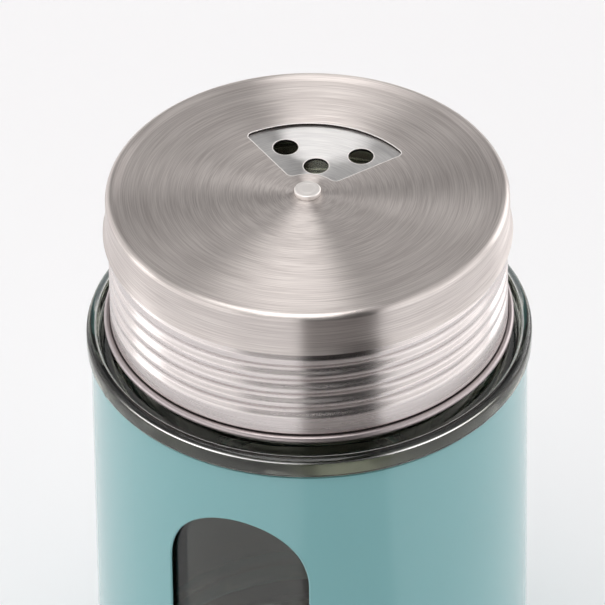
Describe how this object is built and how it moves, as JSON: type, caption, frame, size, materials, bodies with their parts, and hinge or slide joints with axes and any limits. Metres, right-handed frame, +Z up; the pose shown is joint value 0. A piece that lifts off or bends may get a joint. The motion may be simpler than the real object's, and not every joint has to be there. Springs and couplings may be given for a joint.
{
  "type": "spice jar",
  "caption": "Spice jar in a painted steel sleeve with a tall window, under a screw-on steel lid whose top dial turns to open shaker, sprinkle or pour holes.",
  "frame": {"origin": "on the table, under the middle of the jar's base", "axes": "+Z up along the jar's axis, -Y out through the sleeve's window"},
  "size_m": [0.0654, 0.0654, 0.1006],
  "materials": {
    "painted_steel": "semi-gloss",
    "bare_steel": "satin",
    "brushed_stainless": "brushed",
    "polished_steel": "polished",
    "glass": "gloss",
    "silicone": "matt",
    "cushion_rubber": "matt"
  },
  "bodies": {
    "sleeve": {"outer_sleeve": "painted_steel", "base_plate": "bare_steel", "base_cushion": "cushion_rubber"},
    "jar": {"glass_jar": "glass"},
    "seal": {"rim_gasket": "silicone"},
    "lid": {"screw_lid": "brushed_stainless", "pivot_rivet": "polished_steel", "spring_washer": "polished_steel", "backing_washer": "polished_steel"},
    "dial": {"dial_cap": "brushed_stainless"}
  },
  "joints": [
    {"name": "jar_lift", "type": "slide", "parent": "sleeve", "child": "jar", "axis": [0, 0, 1], "range_m": [0, 0.074]},
    {"name": "lid_lift", "type": "slide", "parent": "jar", "child": "seal", "axis": [0, 0, 1], "range_m": [0, 0.0257]},
    {"name": "lid_turn", "type": "hinge", "parent": "seal", "child": "lid", "pos_m": [0, 0, 0.09], "axis": [0, 0, 1], "range_deg": [0, 3600]},
    {"name": "dial_turn", "type": "hinge", "parent": "lid", "child": "dial", "pos_m": [0, 0, 0.0998], "axis": [0, 0, 1], "continuous": true}
  ],
  "couplings": [
    {"joint": "lid_lift", "follows": "lid_turn", "m_per_rad": 0.00040903}
  ]
}
